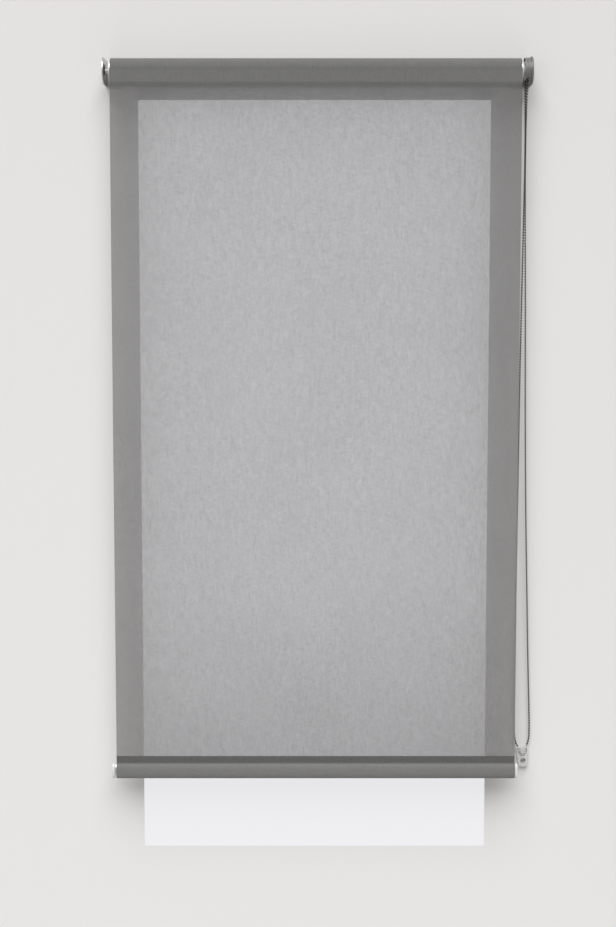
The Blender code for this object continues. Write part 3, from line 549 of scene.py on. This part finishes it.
# ---- camera ----
def make_camera():
    data = bpy.data.cameras.new("camera")
    data.sensor_width = SENSOR
    data.lens = FOCAL
    camera = link("camera", data)
    camera.location = CAMERA_PLACE
    camera.rotation_euler = (math.radians(90 - CAMERA_TILT), 0.0, 0.0)
    bpy.context.scene.camera = camera


# ---- the chain ----
def on_wheel(turn):
    """A place on the wheel's pitch circle, from its front over the top to its back."""
    y = AXIS_Y - PITCH_RADIUS * math.cos(turn)
    return Vector((WHEEL_X, y, PITCH_RADIUS * math.sin(turn)))


def make_chain():
    """Balls on a thin link: down the front, over the wheel and down the back."""
    top = hold_down_high.z
    front = smooth_route(chain_run(FRONT_RUN, -1, top + FRONT_RUN_END), SPACING)
    back = smooth_route(chain_run(BACK_RUN, 1, top + BACK_RUN_END), SPACING)
    over = [on_wheel(math.pi * k / OVER_STEPS) for k in range(1, OVER_STEPS)]
    line = [*reversed(front), *over, *back]

    centres = [on_wheel(math.tau * (k + 0.5) / POCKETS) for k in range(POCKETS // 2)]
    lead = math.pi * PITCH_RADIUS / POCKETS  # from the last ball on the wheel to its end
    skip = round((BEAD_PITCH - lead) / SPACING)
    for route in (front, back):
        sparse = [*route[:: 2 * PER_BEAD], route[-1]]
        centres += smooth_route(sparse, SPACING)[skip::PER_BEAD]
    verts, faces, directions = [], [], []
    for centre in centres:
        nearest = min(range(len(line)), key=lambda k: (line[k] - centre).length_squared)
        directions.append(heading(line, nearest))
    add_balls(centres, directions, BEAD_DIAMETER / 2, verts, faces)
    add_tube(line, LINK_DIAMETER / 2, LINK_SIDES, verts, faces)
    chain = piece(
        "bead_chain", verts, faces, MATERIALS["bead_steel"], "wall_fixings"
    )
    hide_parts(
        "bead_chain_front_run", "bead_chain_over_wheel", "bead_chain_back_run"
    )

    route = [(WHEEL_X + right, CHAIN_END_Y, top + up) for right, up in CONNECTOR_ROUTE]
    thread = smooth_route(route, SPACING)
    verts, faces = [], []
    with_ball = range(PER_BEAD // 2, len(thread), PER_BEAD)
    centres = [thread[k] for k in with_ball]
    directions = [heading(thread, k) for k in with_ball]
    add_balls(centres, directions, CONNECTOR_BEAD / 2, verts, faces)
    add_tube(thread, CONNECTOR_THREAD / 2, THREAD_SIDES, verts, faces)
    connector = piece(
        "clear_chain_connector", verts, faces, MATERIALS["clear_plastic"],
        "wall_fixings",
    )
    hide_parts("chain_connector")


# ---- the cloth ----
def both_faces(outline, thickness):
    """A closed line of (y, z) points round an open one, half a thickness to each side."""
    sides = ([], [])
    last = len(outline) - 1
    for index, (y, z) in enumerate(outline):
        before, after = outline[max(index - 1, 0)], outline[min(index + 1, last)]
        along_y, along_z = after[0] - before[0], after[1] - before[1]
        reach = thickness / 2 / math.hypot(along_y, along_z)
        for side, way in zip(sides, (1, -1)):
            side.append((y + way * reach * along_z, z - way * reach * along_y))
    return sides[0] + sides[1][::-1]


def layered(name, outline, columns, material, body, ripple=None, thickness=CLOTH):
    """A strip of cloth: a line of (y, z) points with its thickness, swept along X.

    Ripple gives how far it stands off, from x, the share of the line so far, and z.
    """
    loop = both_faces(outline, thickness)
    count, last = len(loop), len(outline) - 1
    rings = []
    for column in range(columns + 1):
        x = LEFT + (RIGHT - LEFT) * column / columns
        ring = []
        for k, (y, z) in enumerate(loop):
            share = min(k, count - 1 - k) / last
            ring.append((x, y + (ripple(x, share, z) if ripple else 0.0), z))
        rings.append(ring)
    verts, faces = [], []
    add_sides(rings, verts, faces)
    end = columns * count
    for k in range(last):
        back, next_back = count - 1 - k, count - 2 - k
        faces.append([k, back, next_back, k + 1])
        faces.append([end + k, end + k + 1, end + next_back, end + back])
    return piece(name, verts, faces, material, body)


def spiral(start, end, turns, first):
    """(y, z) points round the roller's axis, from one radius to another."""
    steps = round(ROUND_STEPS * turns)
    points = []
    for k in range(steps + 1):
        radius = start + (end - start) * k / steps
        turn = math.radians(first) + math.tau * turns * k / steps
        points.append((AXIS_Y - radius * math.cos(turn), radius * math.sin(turn)))
    return points


def hang(x, down, _):
    """How far the hanging cloth stands off its plane: long faint waves, curled edges."""
    free = math.sin(math.pi * min(1.0, down * 1.02)) ** 0.6 if 0 < down < 0.98 else 0.0
    edge = min(x - LEFT, RIGHT - x)
    curl = -CURL_OUT * math.exp(-edge / CURL_REACH)
    waves = LONG_WAVE * math.sin(9.0 * x + 1.1) * math.sin(5.0 * down + 0.4)
    waves += SHORT_WAVE * math.sin(23.0 * x + 2.6 * down)
    return free * (curl + waves)


def make_cloth():
    """The hanging cloth, the turn that it comes off and the cloth wound under that."""
    bottom = sheet_low.z
    outline = [(SHEET_Y, bottom * k / SHEET_ROWS) for k in range(SHEET_ROWS + 1)]
    sheet = layered(
        "hanging_cloth", outline, SHEET_COLUMNS, MATERIALS["grey_fabric"],
        "wall_fixings", hang,
    )
    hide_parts("fabric_sheet")
    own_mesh(sheet)

    outer = AXIS_Y - SHEET_Y
    inner = ROLL_RADIUS + CLOTH / 2 + HAIR
    wrap = layered(
        "cloth_over_roll", spiral(outer, inner, WRAP_TURNS, 0.0), WRAP_COLUMNS,
        ROLL_CLOTH, "wall_fixings",
    )
    outer = ROLL_RADIUS - CLOTH / 2
    inner = TUBE_RADIUS + CLOTH / 2 + HAIR
    wound = layered(
        "wound_cloth", spiral(outer, inner, 1.0, WOUND_FIRST), WOUND_COLUMNS,
        ROLL_CLOTH, "roller", None, WOUND_CLOTH,
    )
    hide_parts("fabric_roll")
    return sheet, wrap


def make_hem():
    """The cloth round the bar: welded to itself above it, in a band of two layers."""
    middle = (bar_low.z + bar_high.z) / 2
    half_depth = (bar_high.y - bar_low.y) / 2 + HEM_ROOM + CLOTH / 2
    half_height = (bar_high.z - bar_low.z) / 2 + HEM_ROOM + CLOTH / 2
    layer = CLOTH / 2 + HAIR
    fin_foot = middle + half_height + FIN_FOOT
    fin = [hem_top + (fin_foot - hem_top) * k / FIN_STEPS for k in range(FIN_STEPS)]
    outline = [(SHEET_Y - layer, z) for z in fin]
    for k in range(1, HEM_STEPS):
        turn = math.radians(90 + 360 * k / HEM_STEPS)
        across, up = math.cos(turn), math.sin(turn)
        outline.append(
            (
                SHEET_Y + half_depth * math.copysign(abs(across) ** HEM_FULLNESS, across),
                middle + half_height * math.copysign(abs(up) ** HEM_FULLNESS, up),
            )
        )
    outline += [(SHEET_Y + layer, z) for z in reversed(fin)]

    def pucker(x, _, z):
        lift = max(0.0, min(1.0, (hem_top - z) / (hem_top - fin_foot + PUCKER_FADE)))
        return PUCKER * lift * math.sin(70 * x) * math.sin(190 * x + 1.0)

    hem = layered("hem_cloth", outline, HEM_COLUMNS, HEM_CLOTH, "bar", pucker)
    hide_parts("hem_pocket")
    return hem, make_weld(layer + CLOTH / 2)


def make_weld(out_of_plane):
    """Two ribbed lines across the band, on each of its faces."""
    verts, faces = [], []
    for side in (-1, 1):
        face_y = SHEET_Y + side * out_of_plane
        for below in WELD_ROWS:
            z = hem_top - below
            profile = [
                (0.0, z),
                (WELD_DEPTH, z - WELD_HEIGHT * 0.25),
                (WELD_DEPTH, z - WELD_HEIGHT * 0.75),
                (0.0, z - WELD_HEIGHT),
            ][::-side]
            rings = []
            for step in range(WELD_STEPS + 1):
                along = (RIGHT - LEFT - 2 * WELD_INSET) * step / WELD_STEPS
                swell = side * (1.0 if step % 2 else 0.35)
                rings.append(
                    [
                        (LEFT + WELD_INSET + along, face_y + out * swell, height)
                        for out, height in profile
                    ]
                )
            add_solid(rings, verts, faces)
    return piece("hem_weld", verts, faces, HEM_CLOTH, "bar")


# ---- the idler pin's spring ----
def make_spring():
    """The CAD's own coil, copied to ride on the roller. The real coil shortens as the pin
    is pushed in; the copy is not shortened here.
    """
    coil = frame["nodes"]["idler_spring"]
    spring = link("pin_spring", coil.data.copy())
    spring.matrix_world = coil.matrix_world.copy()
    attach(spring, "roller")
    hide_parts("idler_spring")
    spring.data.materials.clear()
    spring.data.materials.append(MATERIALS["spring_steel"])
    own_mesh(spring)


# ---- stage and light ----
def one_sided(name, colour, roughness, glow=None):
    """A stage finish that is seen from its front only, so views from behind are clear."""
    n = Nodes(name)
    cloud = n.noise(1.3, 3.0, 0.5)
    low = tuple(c * 0.985 for c in colour)
    n.paint(cloud, low, colour)
    n.set(Roughness=roughness)
    # A glowing finish is made weaker low down, which is painted shade.
    if glow:
        n.set(Emission_Color=(*glow, 1.0))
        height = n.add("ShaderNodeSeparateXYZ")
        n.join(n.place, height.inputs["Vector"])
        strength = n.spread(height.outputs["Z"], *WINDOW_FADE, *WINDOW_GLOW)
        n.join(strength, n.shader.inputs["Emission Strength"])
    behind = n.add("ShaderNodeNewGeometry").outputs["Backfacing"]
    clear = n.add("ShaderNodeBsdfTransparent").outputs["BSDF"]
    n.join(n.mix(behind, n.shader.outputs["BSDF"], clear), n.output.inputs["Surface"])
    return n.material


def stage_mesh(name, points, faces, material):
    mesh = bpy.data.meshes.new(name)
    mesh.from_pydata(points, [], faces)
    mesh.materials.append(material)
    made = link(name, mesh)
    return made


def make_walls():
    """The wall with its lit opening, a strip of painted shade above that, and the floor.
    """
    half = STAGE_HALF
    left, right, bottom, top = WINDOW
    outer = [(-half, FLOOR_Z), (half, FLOOR_Z), (half, WALL_TOP), (-half, WALL_TOP)]
    inner = [(left, bottom), (right, bottom), (right, top), (left, top)]
    above = [(left, top), (right, top), (right, SHADE_STRIP_TOP), (left, SHADE_STRIP_TOP)]

    wall = one_sided("stage_wall", (0.80, 0.79, 0.775), 0.9)
    points = [(x, WALL_Y, z) for x, z in outer + inner]
    faces = [[k, (k + 1) % 4, 4 + (k + 1) % 4, 4 + k] for k in range(4)]
    stage_mesh("stage_wall", points, faces, wall)

    # Painted shade: a darker strip above the opening, behind the roll.
    shade_strip = one_sided("stage_painted_shade", (0.44, 0.43, 0.42), 0.9)
    points = [(x, WALL_Y - SHADE_STRIP_OUT, z) for x, z in above]
    stage_mesh("stage_painted_shade", points, [[0, 1, 2, 3]], shade_strip)

    window = one_sided("stage_window", (0.12, 0.12, 0.12), 0.9, (1.0, 1.0, 1.033))
    points = [(x, WALL_Y + WINDOW_BACK, z) for x, z in inner]
    stage_mesh("stage_window", points, [[0, 1, 2, 3]], window)

    ground = one_sided("stage_floor", (0.60, 0.59, 0.58), 0.8)
    corners = [(-half, WALL_Y), (-half, -2 * half), (half, -2 * half), (half, WALL_Y)]
    points = [(x, y, FLOOR_Z) for x, y in corners]
    stage_mesh("stage_floor", points, [[0, 1, 2, 3]], ground)


def make_light():
    """Soft light from high in front, a little from the left and some from all round."""
    world = bpy.data.worlds.new("world")
    world.use_nodes = True
    background = world.node_tree.nodes["Background"]
    background.inputs["Color"].default_value = SKY_COLOUR
    background.inputs["Strength"].default_value = SKY_STRENGTH
    bpy.context.scene.world = world

    key = bpy.data.lights.new("key_light", "SUN")
    key.energy = KEY_STRENGTH
    key.angle = math.radians(KEY_SPREAD)
    made = link("key_light", key)
    made.rotation_euler = (math.radians(90 - KEY_HEIGHT), 0.0, math.radians(KEY_SIDE))

    fill = bpy.data.lights.new("fill_light", "AREA")
    fill.shape = "RECTANGLE"
    fill.size, fill.size_y = FILL_SIZE
    fill.energy = FILL_POWER
    made = link("fill_light", fill)
    made.location = FILL_PLACE
    towards = Vector(FILL_AIM) - Vector(FILL_PLACE)
    made.rotation_euler = towards.to_track_quat("-Z", "Y").to_euler()
    bpy.context.scene.view_settings.view_transform = "Standard"


make_camera()
make_chain()
sheet, wrap = make_cloth()
hem, weld = make_hem()
make_spring()
for subpart in frame["record"]["subparts"]:
    node, slot_name = frame["nodes"][subpart["node"]], subpart["material_slot"]
    node.data.materials.clear()
    node.data.materials.append(MATERIALS[slot_name])
make_walls()
make_light()
